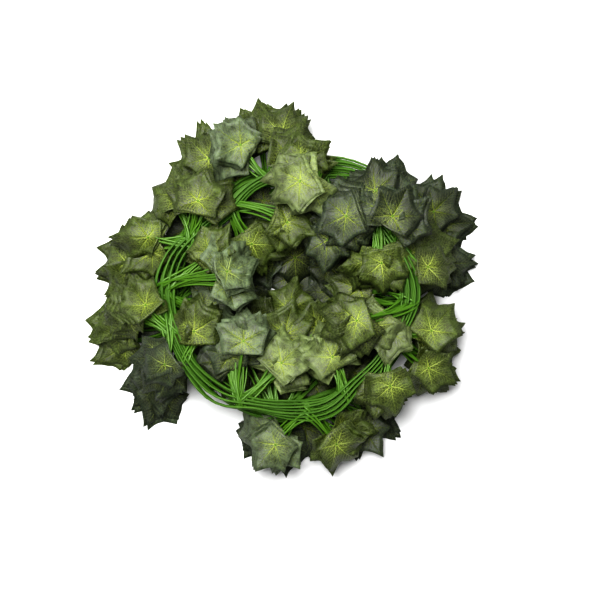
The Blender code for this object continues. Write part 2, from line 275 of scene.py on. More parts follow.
class IvyLeafSettings(bpy.types.PropertyGroup):
    """Sizes and colours of the printed fabric leaves."""

    reach: length_setting("Leaf Reach", "From the vein junction to the leaf's tip", 0.0375, 0.01, 0.1)
    thickness: length_setting(
        "Cloth Thickness", "Thickness of the leaf's stiffened cloth", 0.0004, 0.0001, 0.002, precision=4
    )
    olive: colour_setting("Olive", "Print of the olive leaves", (0.036, 0.054, 0.007))
    grey: colour_setting("Grey Green", "Print of the grey-green leaves", (0.082, 0.108, 0.062))
    light: colour_setting("Light Green", "Print of the palest leaves", (0.125, 0.158, 0.066))
    # The darkest print is partly the garland's own dark tone and partly painted shade, darkening the leaves
    # that lie in shade inside the coil.
    dark: colour_setting("Dark Green", "Print of the darkest leaves", (0.017, 0.027, 0.014))
    vein: colour_setting("Veins", "Print of the veins near the stalk", (0.40, 0.48, 0.10))
    back: colour_setting("Leaf Back", "Unprinted underside of the leaves", (0.07, 0.10, 0.036))


class IvyStageSettings(bpy.types.PropertyGroup):
    """The floor, the light and the camera."""

    floor_colour: colour_setting("Floor Colour", "Pale surface under the bundle", (0.80, 0.80, 0.80))
    camera_height: length_setting("Camera Height", "Camera above the surface", 1.65, 0.5, 5.0)
    view_width: length_setting(
        "View Width", "Width that the camera sees at the height of the upper leaves", 0.636, 0.2, 3.0
    )
    overhead_power: FloatProperty(
        name="Overhead Light", description="Power of the large soft light above the bundle",
        default=34.0, min=0.0, max=500.0, unit="POWER",
    )


# The coil


def smooth_through(values, place):
    """The value at a fractional index of a list, on a Catmull-Rom curve through its entries."""
    last = len(values) - 1
    place = min(max(place, 0.0), float(last))
    index = min(int(place), last - 1)
    share = place - index
    before = values[max(index - 1, 0)]
    start = values[index]
    end = values[index + 1]
    after = values[min(index + 2, last)]
    slope_in = (end - before) / 2
    slope_out = (after - start) / 2
    square = share * share
    cube = square * share
    return (
        start * (2 * cube - 3 * square + 1)
        + slope_in * (cube - 2 * square + share)
        + end * (3 * square - 2 * cube)
        + slope_out * (cube - square)
    )


def bundle_middle(angle):
    """The middle of the bundle at an angle of the coil."""
    radius = COIL_RADIUS + smooth_through(RADIUS_OFFSETS, (angle - COIL_START) / COIL_STEP)
    turn = math.radians(angle)
    height = COIL_LIFT + COIL_RISE_PER_TURN * (angle - COIL_START) / 360
    x, y = COIL_CENTRE
    return Vector((x + radius * math.cos(turn), y + radius * math.sin(turn), height)) * MM


def bundle_axes(angle):
    """The bundle's level axis, pointing out of the coil, and its upright axis."""
    along = bundle_middle(angle + 1) - bundle_middle(angle - 1)
    across = along.cross(Vector((0, 0, 1))).normalized()
    return across, across.cross(along).normalized()


def bundle_pattern():
    """Where the twelve vines lie in a round bundle: the places nearest the middle of a triangular grid."""
    middle = Vector((0.5, math.sqrt(3) / 6))
    grid = [
        Vector((column + row / 2, row * math.sqrt(3) / 2)) - middle
        for row in range(-3, 4)
        for column in range(-4, 5)
    ]
    grid.sort(key=lambda place: (round(place.length, 6), round(math.atan2(place.y, place.x), 6)))
    return [place * VINE_PITCH * MM for place in grid[:12]]


PATTERN = bundle_pattern()


def vine_point(place, angle):
    """Where a vine runs at an angle of the coil, by its place in the twisted bundle."""
    across, upright = bundle_axes(angle)
    twist = math.radians(BUNDLE_TWIST_PER_TURN * (angle - COIL_START) / 360)
    turned = Matrix.Rotation(twist, 2) @ place
    width = smooth_through(WIDTH_RATIOS, (angle - COIL_START) / COIL_STEP)
    return bundle_middle(angle) + across * turned.x * width + upright * turned.y


# Round stems


class StemMesh:
    """Collects round stems into one mesh, with a UV map that runs round and along each stem."""

    def __init__(self):
        self.points = []
        self.faces = []
        self.runs = []
        self.shares = []

    def add(self, line, radii, sides, length=1.0):
        """A closed tube along a line of points, with its own radius at each."""
        first = len(self.points)
        side = None
        count = len(line)
        for index, centre in enumerate(line):
            ahead = line[min(index + 1, count - 1)] - line[max(index - 1, 0)]
            ahead.normalize()
            if side is None:
                guess = Vector((0, 0, 1)) if abs(ahead.z) < 0.9 else Vector((1, 0, 0))
                side = guess.cross(ahead)
            side = (side - ahead * side.dot(ahead)).normalized()
            other = ahead.cross(side)
            for step in range(sides):
                turn = 2 * math.pi * step / sides
                self.points.append(centre + (side * math.cos(turn) + other * math.sin(turn)) * radii[index])
                self.shares.append(index / (count - 1))
        for index in range(count - 1):
            for step in range(sides):
                after = (step + 1) % sides
                low = first + index * sides
                high = low + sides
                self.faces.append((low + step, low + after, high + after, high + step))
                left, right = step / sides, (step + 1) / sides
                down, up = length * index / (count - 1), length * (index + 1) / (count - 1)
                self.runs += [(left, down), (right, down), (right, up), (left, up)]
        for ring, order in ((0, -1), (count - 1, 1)):
            cap = [first + ring * sides + step for step in range(sides)][::order]
            self.faces.append(cap)
            self.runs += [(0.5, length * ring / (count - 1))] * sides

    def build(self, name, materials):
        data = bpy.data.meshes.new(name)
        data.from_pydata(self.points, [], self.faces)
        layer = data.uv_layers.new(name="stem_run")
        for loop, run in zip(layer.data, self.runs):
            loop.uv = run
        share = data.attributes.new("stem_share", "FLOAT", "POINT")
        share.data.foreach_set("value", self.shares)
        data.polygons.foreach_set("use_smooth", [len(face) == 4 for face in self.faces])
        for material in materials:
            data.materials.append(material)
        piece = bpy.data.objects.new(name, data)
        bpy.context.scene.collection.objects.link(piece)
        return piece


def bezier(start, first, second, end, share):
    rest = 1 - share
    return start * rest**3 + first * 3 * rest**2 * share + second * 3 * rest * share**2 + end * share**3


# Leaves

LeafForm = namedtuple(
    "LeafForm", "size width skew cup roof pleat bulge ruffle waves phase curl bend crumple seed"
)


def leaf_rim():
    """The leaf's edge, a point a spoke: plan x and y in reaches, and the way from lobe vein to hollow."""
    corners = [
        Vector((-share * math.sin(math.radians(turn)), share * math.cos(math.radians(turn))))
        for turn, share in LEAF_OUTLINE
    ]
    rim = []
    for index, (start, end) in enumerate(zip(corners, corners[1:])):
        for step in range(STEPS_PER_EDGE):
            share = step / STEPS_PER_EDGE
            point = start.lerp(end, share) * (1 - EDGE_HOLLOW * math.sin(math.pi * share))
            rim.append((point.x, point.y, 1 - share if index % 2 else share))
    return rim


RIM = leaf_rim()
SPOKES = len(RIM)
LEAF_GRID = [(ring * x, ring * y, ring, off_vein) for ring in LEAF_RINGS for x, y, off_vein in RIM]


def leaf_height(x, y, ring, off_vein, form):
    """How far the leaf's cloth stands off its flat plan, in reaches: folded, pleated and crumpled."""
    out = math.hypot(x, y)
    turn = math.atan2(x, y)
    height = -form.cup * out * out
    height -= form.roof * abs(x)
    height += form.pleat * out * (off_vein - 0.4)
    height += form.bulge * math.sin(math.pi * ring) * math.sin(math.pi * off_vein)
    height += form.ruffle * ring * ring * math.sin(form.waves * turn + form.phase)
    height -= form.curl * max(y - 0.3, 0.0) ** 2
    height += form.bend * x * y
    height += form.crumple * ring * noise.noise(Vector((x * 1.7, y * 1.7, form.seed)))
    height += 0.25 * form.crumple * ring * noise.noise(Vector((x * 6.0, y * 6.0, form.seed + 9)))
    return height


class LeafMesh:
    """Collects leaves into one sheet mesh, with a UV map of each leaf's plan and its own tone, which on
    leaves under the coil is a painted shade.
    """

    def __init__(self, reach):
        self.reach = reach
        self.points = []
        self.faces = []
        self.plans = []
        self.tones_and_shades = []

    def add(self, pose, form, tone_and_shade, floor):
        """One leaf, posed by a matrix and pressed flat where it would reach below the floor."""
        first = len(self.points)
        for x, y, ring, off_vein in [(0.0, 0.0, 0.0, 0.0)] + LEAF_GRID:
            height = leaf_height(x, y, ring, off_vein, form)
            scale = self.reach * form.size
            worn = 1 + 0.10 * ring * noise.noise(Vector((x * 3.0, y * 3.0, form.seed + 30)))
            sideways = x * form.width + form.skew * y * y
            point = pose @ (Vector((sideways * worn, y * worn, height)) * scale)
            if point.z < floor:
                point.z = floor + (point.z - floor) * 0.02
                point.z = max(point.z, floor * 0.6)
            self.points.append(point)
            self.tones_and_shades.append((tone_and_shade[0], tone_and_shade[1], ring, 1.0))
        plans = [(0.5, 0.5)] + [(0.5 + x / PLAN_SPAN, 0.5 + y / PLAN_SPAN) for x, y, *_ in LEAF_GRID]
        for step in range(SPOKES):
            after = (step + 1) % SPOKES
            corners = (0, 1 + step, 1 + after)
            self.faces.append([first + corner for corner in corners])
            self.plans += [plans[corner] for corner in corners]
        for ring in range(len(LEAF_RINGS) - 1):
            low = 1 + ring * SPOKES
            high = low + SPOKES
            for step in range(SPOKES):
                after = (step + 1) % SPOKES
                corners = (low + step, high + step, high + after, low + after)
                self.faces.append([first + corner for corner in corners])
                self.plans += [plans[corner] for corner in corners]

    def build(self, name, materials, thickness):
        data = bpy.data.meshes.new(name)
        data.from_pydata(self.points, [], self.faces)
        layer = data.uv_layers.new(name="leaf_plan")
        for loop, plan in zip(layer.data, self.plans):
            loop.uv = plan
        tone_and_shade = data.attributes.new("leaf_tone_and_shade", "FLOAT_COLOR", "POINT")
        tone_and_shade.data.foreach_set("color", [value for row in self.tones_and_shades for value in row])
        data.polygons.foreach_set("use_smooth", [True] * len(self.faces))
        data.set_sharp_from_angle(angle=math.radians(CREASE_ANGLE))
        for material in materials:
            data.materials.append(material)
        piece = bpy.data.objects.new(name, data)
        bpy.context.scene.collection.objects.link(piece)
        cloth = piece.modifiers.new("cloth", "SOLIDIFY")
        cloth.thickness = thickness
        cloth.offset = -1
        cloth.material_offset = 1
        return piece


def leaf_pose(spray, share):
    """How the spray holds a leaf that lay flat with its tip along +Y, share of the way up the stack."""
    tilt = 1.0 if spray.layer == "top" else share
    heading = math.radians(spray.bearing + spray.turn - 90)
    return (
        Matrix.Rotation(heading, 4, "Z")
        @ Matrix.Rotation(math.radians(-spray.droop * tilt), 4, "X")
        @ Matrix.Rotation(math.radians(spray.roll * tilt), 4, "Y")
    )


def spray_junction(number, spray, reach):
    """The vein junction of the spray's top leaf, at the height at which its solid settled."""
    low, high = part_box(f"leaf_spray_{number:02d}")
    plate = [
        Vector((-math.sin(math.radians(turn)), math.cos(math.radians(turn)), 0)) * reach * share
        for turn, share in LEAF_OUTLINE
    ]
    back = Vector(spray.back) * MM
    heights = [
        (leaf_pose(spray, level) @ point * size + back * (1 - level)).z
        for level, size in ((0.0, SOLID_SPREAD[spray.layer]), (1.0, 1.0))
        for point in plate
    ]
    start = bundle_middle(spray.station)
    bearing = math.radians(spray.bearing)
    x = start.x + spray.reach * MM * math.cos(bearing)
    y = start.y + spray.reach * MM * math.sin(bearing)
    hangs_below = spray.layer != "top" or (low.z + high.z) / 2 < start.z
    z = low.z - min(heights) if hangs_below else high.z - max(heights)
    return Vector((x, y, z))


def spray_leaves(number, spray, settings):
    """The pose, form and tone of each leaf of a spray, top leaf first; its loose stacks are held dark as
    painted shade.
    """
    dice = random.Random(7000 + number)
    junction = spray_junction(number, spray, settings.reach)
    back = Vector(spray.back) * MM
    mirror = dice.choice((-1, 1))
    leaves = []
    for fan in FANS[spray.layer]:
        own = dice.uniform(0.75, 1.2)
        tilt = Matrix.Rotation(math.radians(dice.uniform(-TILT, TILT)), 4, "X") @ Matrix.Rotation(
            math.radians(dice.uniform(-TILT, TILT)), 4, "Y"
        )
        stack = LeafForm(
            size=1.0,
            width=dice.uniform(0.84, 1.06),
            skew=dice.uniform(-0.16, 0.16),
            cup=dice.uniform(-0.10, 0.08),
            roof=dice.uniform(-0.26, 0.22),
            pleat=dice.uniform(-0.10, 0.12),
            bulge=dice.uniform(0.0, 0.012),
            ruffle=dice.uniform(0.01, 0.05),
            waves=dice.choice((2, 3, 5)),
            phase=dice.uniform(0, 2 * math.pi),
            curl=dice.uniform(-0.20, 0.30),
            bend=dice.uniform(-0.22, 0.22),
            crumple=dice.uniform(0.10, 0.22),
            seed=dice.uniform(0, 50),
        )
        for index in range(fan.leaves):
            under = (index + (1 if fan.side or fan.ahead else 0)) / fan.leaves
            hold = leaf_pose(spray, 1 - under)
            loose = 1.0 if leaves else 0.0
            place = junction + back * under
            place += hold @ Vector((mirror * fan.side * own, fan.ahead + dice.uniform(-4, 2) * loose, 0)) * MM
            place.x += dice.uniform(-1.8, 1.8) * MM * loose
            place.y += dice.uniform(-1.8, 1.8) * MM * loose
            place.z -= fan.down * MM
            outward = -mirror * math.copysign(1, fan.side) if fan.side else 0
            swing = outward * fan.swing * own + dice.gauss(0, 5) * loose
            lean = -outward * fan.lean + dice.uniform(-3, 3) * loose
            pose = (
                Matrix.Translation(place)
                @ hold
                @ tilt
                @ Matrix.Rotation(math.radians(lean), 4, "Y")
                @ Matrix.Rotation(math.radians(swing), 4, "Z")
                @ Matrix.Rotation(math.radians(dice.uniform(-4, 4) * loose), 4, "X")
            )
            form = stack._replace(
                size=dice.uniform(0.92, 1.03) if leaves else 1.0,
                cup=stack.cup + dice.uniform(-0.02, 0.02),
                seed=stack.seed + dice.uniform(0, 0.25),
                phase=stack.phase + dice.uniform(-0.3, 0.3),
            )
            leaves.append((pose, form, (dice.random(), dice.random())))
    for loose in LOOSE_STACKS:
        if loose.spray == number:
            leaves += loose_leaves(loose)
    return leaves


def loose_leaves(loose):
    """The leaves of a stack that lies flat on the surface, top leaf first, held dark as painted shade under
    the coil.
    """
    dice = random.Random(round(9000 + 7 * loose.x + loose.y))
    stack = LeafForm(
        size=1.0, width=dice.uniform(0.86, 1.04), skew=dice.uniform(-0.1, 0.1), cup=0.0,
        roof=dice.uniform(-0.05, 0.2), pleat=dice.uniform(-0.06, 0.1), bulge=0.01, ruffle=0.02, waves=3,
        phase=dice.uniform(0, 2 * math.pi), curl=dice.uniform(0, 0.2), bend=dice.uniform(-0.1, 0.1),
        crumple=0.12, seed=dice.uniform(0, 50),
    )
    leaves = []
    for index in range(loose.leaves):
        x, y = loose.x + dice.uniform(-4, 4), loose.y + dice.uniform(-4, 4)
        place = Vector((x, y, LOOSE_TOP - LOOSE_STEP * index)) * MM
        heading = math.radians(loose.heading - 90 + dice.uniform(-14, 14))
        pose = Matrix.Translation(place) @ Matrix.Rotation(heading, 4, "Z")
        pose = pose @ Matrix.Rotation(math.radians(dice.uniform(-5, 5)), 4, "Y")
        form = stack._replace(seed=stack.seed + dice.uniform(0, 0.3))
        # A brightness of at most 0.2 darkens these leaves as painted shade under the coil.
        leaves.append((pose, form, (0.2 * dice.random(), dice.random())))
    return leaves


# Finishes


def add_node(tree, kind, options=None, **inputs):
    """A node with its options set and its inputs set or linked, each named with _ for a space."""
    made = tree.nodes.new(kind)
    for name, value in (options or {}).items():
        setattr(made, name, value)
    for name, value in inputs.items():
        fill(tree, made.inputs[name.replace("_", " ")], value)
    return made


def fill(tree, socket, value):
    if isinstance(value, bpy.types.NodeSocket):
        tree.links.new(value, socket)
    else:
        socket.default_value = value


def maths(tree, operation, *values, clamp=False):
    made = tree.nodes.new("ShaderNodeMath")
    made.operation = operation
    made.use_clamp = clamp
    for socket, value in zip(made.inputs, values):
        fill(tree, socket, value)
    return made.outputs[0]


def vector_maths(tree, operation, *values):
    made = add_node(tree, "ShaderNodeVectorMath", {"operation": operation})
    for socket, value in zip(made.inputs, values):
        fill(tree, socket, value)
    return made.outputs["Value" if operation == "LENGTH" else "Vector"]


def fade(tree, value, start, end, low=0.0, high=1.0):
    """Runs smoothly from low at start to high at end."""
    made = tree.nodes.new("ShaderNodeMapRange")
    made.interpolation_type = "SMOOTHSTEP"
    for socket, each in zip(made.inputs, (value, start, end, low, high)):
        fill(tree, socket, each)
    return made.outputs[0]


def blend_colours(tree, share, first, second, kind="MIX"):
    made = add_node(tree, "ShaderNodeMix", {"data_type": "RGBA", "blend_type": kind})
    for index, value in ((0, share), (6, first), (7, second)):
        fill(tree, made.inputs[index], value)
    return made.outputs[2]


def solid(colour):
    return (*colour, 1.0)


def new_group(name, inputs, outputs):
    """A shader node group with float or vector sockets, and its two ends."""
    tree = bpy.data.node_groups.new(name, "ShaderNodeTree")
    for label, kind in inputs:
        tree.interface.new_socket(label, in_out="INPUT", socket_type=kind)
    for label, kind in outputs:
        tree.interface.new_socket(label, in_out="OUTPUT", socket_type=kind)
    return tree, tree.nodes.new("NodeGroupInput"), tree.nodes.new("NodeGroupOutput")


def group_node(tree, group, **inputs):
    made = tree.nodes.new("ShaderNodeGroup")
    made.node_tree = group
    for name, value in inputs.items():
        fill(tree, made.inputs[name.replace("_", " ")], value)
    return made


# Threads of the leaf's cloth: radians of weave in one reach.
THREADS = 620.0
VECTOR = "NodeSocketVector"
FLOAT = "NodeSocketFloat"


def vein_line_group():
    """One main vein with its side veins, along a ray from the junction."""
    tree, given, made = new_group(
        "ivy vein line",
        [("Plan", VECTOR), ("Angle", FLOAT), ("Length", FLOAT), ("From", FLOAT), ("To", FLOAT)],
        [("Main", FLOAT), ("Side", FLOAT)],
    )
    turned = add_node(
        tree, "ShaderNodeVectorRotate", {"rotation_type": "Z_AXIS"},
        Vector=given.outputs["Plan"], Angle=given.outputs["Angle"],
    )
    parts = add_node(tree, "ShaderNodeSeparateXYZ", Vector=turned.outputs[0])
    along = parts.outputs["Y"]
    across = maths(tree, "ABSOLUTE", parts.outputs["X"])
    way = maths(tree, "DIVIDE", along, given.outputs["Length"])
    width = fade(tree, way, 0.0, 1.0, 0.026, 0.007)
    line = fade(tree, across, 0.0, width, 1.0, 0.0)
    ahead = fade(tree, along, -0.02, 0.01)
    ending = fade(tree, way, 0.75, 1.0, 1.0, 0.0)
    main = maths(tree, "MULTIPLY", maths(tree, "MULTIPLY", line, ahead), ending)
    chevron = maths(tree, "SUBTRACT", along, maths(tree, "MULTIPLY", across, 1.05))
    cell = maths(tree, "FRACT", maths(tree, "MULTIPLY", chevron, 8.5))
    off = maths(tree, "ABSOLUTE", maths(tree, "SUBTRACT", cell, 0.5))
    side = fade(tree, off, 0.38, 0.5)
    plan = add_node(tree, "ShaderNodeSeparateXYZ", Vector=given.outputs["Plan"])
    bearing = maths(tree, "ARCTAN2", plan.outputs["X"], plan.outputs["Y"])
    after = maths(tree, "GREATER_THAN", bearing, given.outputs["From"])
    before = maths(tree, "LESS_THAN", bearing, given.outputs["To"])
    near = fade(tree, across, 0.02, 0.42, 1.0, 0.0)
    inside = maths(tree, "MULTIPLY", after, before)
    side = maths(tree, "MULTIPLY", maths(tree, "MULTIPLY", side, near), inside)
    fill(tree, made.inputs["Main"], main)
    fill(tree, made.inputs["Side"], side)
    return tree


def veins_group():
    """The printed veins: five main veins, their side veins, a fine net, and a glow at the junction."""
    tree, given, made = new_group(
        "ivy veins",
        [("Plan", VECTOR), ("Seed", FLOAT)],
        [("Main", FLOAT), ("Side", FLOAT), ("Net", FLOAT), ("Glow", FLOAT)],
    )
    shift = add_node(tree, "ShaderNodeCombineXYZ", X=maths(tree, "MULTIPLY", given.outputs["Seed"], 37.0))
    moved = vector_maths(tree, "ADD", given.outputs["Plan"], shift.outputs[0])
    wobble = add_node(tree, "ShaderNodeTexNoise", Vector=moved, Scale=5.0, Detail=2.0)
    centred = vector_maths(
        tree, "MULTIPLY_ADD", wobble.outputs["Color"], (0.07, 0.07, 0.0), (-0.035, -0.035, 0.0)
    )
    crooked = vector_maths(tree, "ADD", given.outputs["Plan"], centred)
    parts = add_node(tree, "ShaderNodeSeparateXYZ", Vector=crooked)
    folded = add_node(
        tree, "ShaderNodeCombineXYZ", X=maths(tree, "ABSOLUTE", parts.outputs["X"]), Y=parts.outputs["Y"]
    )
    line = vein_line_group()
    mains, sides = [], []
    for angle, length, start, end in ((0, 0.95, -1, 29), (58, 0.82, 29, 91), (124, 0.6, 91, 180)):
        vein = group_node(
            tree, line, Plan=folded.outputs[0], Angle=math.radians(angle), Length=length,
            From=math.radians(start), To=math.radians(end),
        )
        mains.append(vein.outputs["Main"])
        sides.append(vein.outputs["Side"])
    main = maths(tree, "MAXIMUM", maths(tree, "MAXIMUM", mains[0], mains[1]), mains[2])
    side = maths(tree, "MAXIMUM", maths(tree, "MAXIMUM", sides[0], sides[1]), sides[2])
    nets = []
    for scale, width in ((12.0, 0.075), (27.0, 0.12)):
        cells = add_node(
            tree, "ShaderNodeTexVoronoi", {"feature": "DISTANCE_TO_EDGE", "voronoi_dimensions": "2D"},
            Vector=moved, Scale=scale,
        )
        nets.append(fade(tree, cells.outputs["Distance"], 0.0, width, 1.0, 0.0))
    speckle = add_node(tree, "ShaderNodeTexNoise", Vector=moved, Scale=30.0, Detail=1.0)
    nets[1] = maths(tree, "MULTIPLY", nets[1], fade(tree, speckle.outputs["Fac"], 0.42, 0.62))
    net = maths(tree, "MAXIMUM", nets[0], nets[1])
    out = vector_maths(tree, "LENGTH", crooked)
    patches = add_node(tree, "ShaderNodeTexNoise", Vector=moved, Scale=3.2, Detail=3.0)
    spread = maths(tree, "MULTIPLY_ADD", patches.outputs["Fac"], 0.5, -0.25)
    glow = fade(tree, maths(tree, "SUBTRACT", out, spread), 0.0, 0.62, 1.0, 0.0)
    for label, value in (("Main", main), ("Side", side), ("Net", net), ("Glow", glow)):
        fill(tree, made.inputs[label], value)
    return tree


def cloth_group():
    """The fine over-and-under of the leaf's woven cloth, as a height."""
    tree, given, made = new_group(
        "leaf cloth weave", [("Plan", VECTOR), ("Threads", FLOAT)], [("Height", FLOAT)]
    )
    parts = add_node(tree, "ShaderNodeSeparateXYZ", Vector=given.outputs["Plan"])
    waves = [
        maths(tree, "SINE", maths(tree, "MULTIPLY", parts.outputs[axis], given.outputs["Threads"]))
        for axis in ("X", "Y")
    ]
    weave = maths(tree, "MULTIPLY_ADD", maths(tree, "MULTIPLY", *waves), 0.5, 0.5)
    fill(tree, made.inputs["Height"], weave)
    return tree


def ribs_group():
    """Fine lengthwise ribs and mould streaks of a drawn plastic stem."""
    tree, given, made = new_group(
        "stem ribs", [("Run", VECTOR), ("Ribs", FLOAT)], [("Height", FLOAT), ("Streak", FLOAT)]
    )
    parts = add_node(tree, "ShaderNodeSeparateXYZ", Vector=given.outputs["Run"])
    around = maths(tree, "MULTIPLY", parts.outputs["X"], 2 * math.pi)
    wave = maths(tree, "SINE", maths(tree, "MULTIPLY", around, given.outputs["Ribs"]))
    ring = add_node(
        tree, "ShaderNodeCombineXYZ",
        X=maths(tree, "SINE", around), Y=maths(tree, "COSINE", around),
        Z=maths(tree, "MULTIPLY", parts.outputs["Y"], 14.0),
    )
    streak = add_node(
        tree, "ShaderNodeTexNoise", Vector=ring.outputs[0], Scale=1.6, Detail=3.0, Roughness=0.6
    )
    fill(tree, made.inputs["Height"], maths(tree, "MULTIPLY_ADD", wave, 0.5, 0.5))
    fill(tree, made.inputs["Streak"], streak.outputs["Fac"])
    return tree


def new_material(name):
    material = bpy.data.materials.new(name)
    material.use_nodes = True
    material.node_tree.nodes.clear()
    return material


def close_material(tree, shader):
    ending = tree.nodes.new("ShaderNodeOutputMaterial")
    tree.links.new(shader.outputs["BSDF"], ending.inputs["Surface"])


def leaf_plan(tree):
    """The leaf's plan in reaches, with the junction at zero and the tip along +Y."""
    plan = add_node(tree, "ShaderNodeUVMap", {"uv_map": "leaf_plan"})
    span, middle = (PLAN_SPAN, PLAN_SPAN, 0.0), (-PLAN_SPAN / 2, -PLAN_SPAN / 2, 0.0)
    return vector_maths(tree, "MULTIPLY_ADD", plan.outputs["UV"], span, middle)


def leaf_face_material(name, colour, vein_colour, groups, vividness):
    """Printed satin cloth: a mottled ground that is partly print and partly painted light, a bright junction,
    and veins that fade outwards.
    """
    material = new_material(name)
    tree = material.node_tree
    plan = leaf_plan(tree)
    tone_and_shade = add_node(tree, "ShaderNodeAttribute", {"attribute_name": "leaf_tone_and_shade"})
    own = add_node(tree, "ShaderNodeSeparateColor", Color=tone_and_shade.outputs["Color"])
    brightness_and_shade, seed, ring = own.outputs["Red"], own.outputs["Green"], own.outputs["Blue"]
    veins = group_node(tree, groups["veins"], Plan=plan, Seed=seed)
    glow = veins.outputs["Glow"]

    # The mottle is partly the print's own and partly painted light: its pale colour is also a painted satin
    # highlight, and its deep colour a painted shade.
    mottle = add_node(tree, "ShaderNodeTexNoise", Vector=plan, Scale=4.0, Detail=4.0, Roughness=0.65)
    deep = solid([channel * 0.40 for channel in colour])
    pale_and_sheen = solid([channel * 1.50 + 0.010 for channel in colour])
    ground = blend_colours(tree, fade(tree, mottle.outputs["Fac"], 0.32, 0.68), deep, pale_and_sheen)
    # Each leaf's brightness: a random tone, held low as painted shade on the leaves that lie under the coil.
    shade = maths(tree, "MULTIPLY_ADD", brightness_and_shade, 0.70, 0.62)
    ground = blend_colours(tree, 1.0, ground, add_node(
        tree, "ShaderNodeCombineColor", Red=shade, Green=shade, Blue=shade
    ).outputs["Color"], "MULTIPLY")
    printed = solid([0.5 * (own_part + vein_part) for own_part, vein_part in zip(colour, vein_colour)])
    around = maths(tree, "MULTIPLY", glow, 0.10 * vividness)
    ground = blend_colours(tree, around, ground, printed)
    for kind, near, everywhere in (("Net", 0.80, 0.20), ("Side", 0.60, 0.22), ("Main", 0.60, 0.40)):
        strength = maths(tree, "MULTIPLY_ADD", glow, near, everywhere)
        share = maths(tree, "MULTIPLY", veins.outputs[kind], strength)
        ground = blend_colours(tree, maths(tree, "MULTIPLY", share, vividness), ground, solid(vein_colour))
    ground = blend_colours(tree, fade(tree, ring, 0.955, 1.0, 0.0, 0.6), ground, pale_and_sheen)

    weave = group_node(tree, groups["cloth"], Plan=plan, Threads=THREADS)
    height = maths(tree, "MULTIPLY_ADD", veins.outputs["Main"], -1.0, 0.0)
    height = maths(tree, "MULTIPLY_ADD", veins.outputs["Side"], -0.5, height)
    height = maths(tree, "MULTIPLY_ADD", veins.outputs["Net"], -0.16, height)
    height = maths(tree, "MULTIPLY_ADD", weave.outputs["Height"], 0.05, height)
    bump = add_node(tree, "ShaderNodeBump", Strength=0.9, Distance=0.0006, Height=height)
    roughness = fade(tree, mottle.outputs["Fac"], 0.25, 0.75, 0.38, 0.56)
    shader = add_node(
        tree, "ShaderNodeBsdfPrincipled", Base_Color=ground, Roughness=roughness, Normal=bump.outputs[0]
    )
    shader.inputs["Specular IOR Level"].default_value = 0.65
    shader.inputs["Sheen Weight"].default_value = 0.03
    shader.inputs["Sheen Roughness"].default_value = 0.45
    close_material(tree, shader)
    return material


def leaf_back_material(name, colour, groups):
    """The leaf's unprinted underside: duller and paler cloth, where the main veins show through."""
    material = new_material(name)
    tree = material.node_tree
    plan = leaf_plan(tree)
    veins = group_node(tree, groups["veins"], Plan=plan, Seed=0.5)
    mottle = add_node(tree, "ShaderNodeTexNoise", Vector=plan, Scale=3.0, Detail=3.0)
    ground = blend_colours(
        tree, mottle.outputs["Fac"],
        solid([channel * 0.7 for channel in colour]), solid([channel * 1.2 for channel in colour]),
    )
    ground = blend_colours(
        tree, maths(tree, "MULTIPLY", veins.outputs["Main"], 0.5), ground,
        solid([channel * 1.7 for channel in colour]),
    )
    weave = group_node(tree, groups["cloth"], Plan=plan, Threads=THREADS)
    height = maths(tree, "MULTIPLY_ADD", weave.outputs["Height"], 0.1, veins.outputs["Main"])
    bump = add_node(tree, "ShaderNodeBump", Strength=0.7, Distance=0.0005, Height=height)
    shader = add_node(
        tree, "ShaderNodeBsdfPrincipled", Base_Color=ground, Roughness=0.82, Normal=bump.outputs[0]
    )
    shader.inputs["Sheen Weight"].default_value = 0.15
    close_material(tree, shader)
    return material


def stem_material(name, base, tip, groups, ribs):
    """Moulded plastic that pales towards the end of the stem, with fine ribs and mould streaks."""
    material = new_material(name)
    tree = material.node_tree
    run = add_node(tree, "ShaderNodeUVMap", {"uv_map": "stem_run"})
    detail = group_node(tree, groups["ribs"], Run=run.outputs["UV"], Ribs=ribs)
    share = add_node(tree, "ShaderNodeAttribute", {"attribute_name": "stem_share"})
    colour = blend_colours(tree, share.outputs["Fac"], solid(base), solid(tip))
    deep = blend_colours(tree, 1.0, colour, (0.45, 0.55, 0.4, 1.0), "MULTIPLY")
    streak = fade(tree, detail.outputs["Streak"], 0.3, 0.62)
    colour = blend_colours(tree, streak, deep, colour)
    bump = add_node(tree, "ShaderNodeBump", Strength=0.8, Distance=0.00025, Height=detail.outputs["Height"])
    roughness = fade(tree, detail.outputs["Streak"], 0.3, 0.7, 0.58, 0.40)
    shader = add_node(
        tree, "ShaderNodeBsdfPrincipled", Base_Color=colour, Roughness=roughness, Normal=bump.outputs[0]
    )
    shader.inputs["Specular IOR Level"].default_value = 0.35
    close_material(tree, shader)
    return material


def shared_groups():
    """The node groups that several finishes use, built the first time they are asked for."""
    makers = {"veins": ("ivy veins", veins_group), "cloth": ("leaf cloth weave", cloth_group),
              "ribs": ("stem ribs", ribs_group)}
    return {key: bpy.data.node_groups.get(name) or make() for key, (name, make) in makers.items()}


def finish_of(name, make):
    return bpy.data.materials.get(name) or make(name)


# Operators


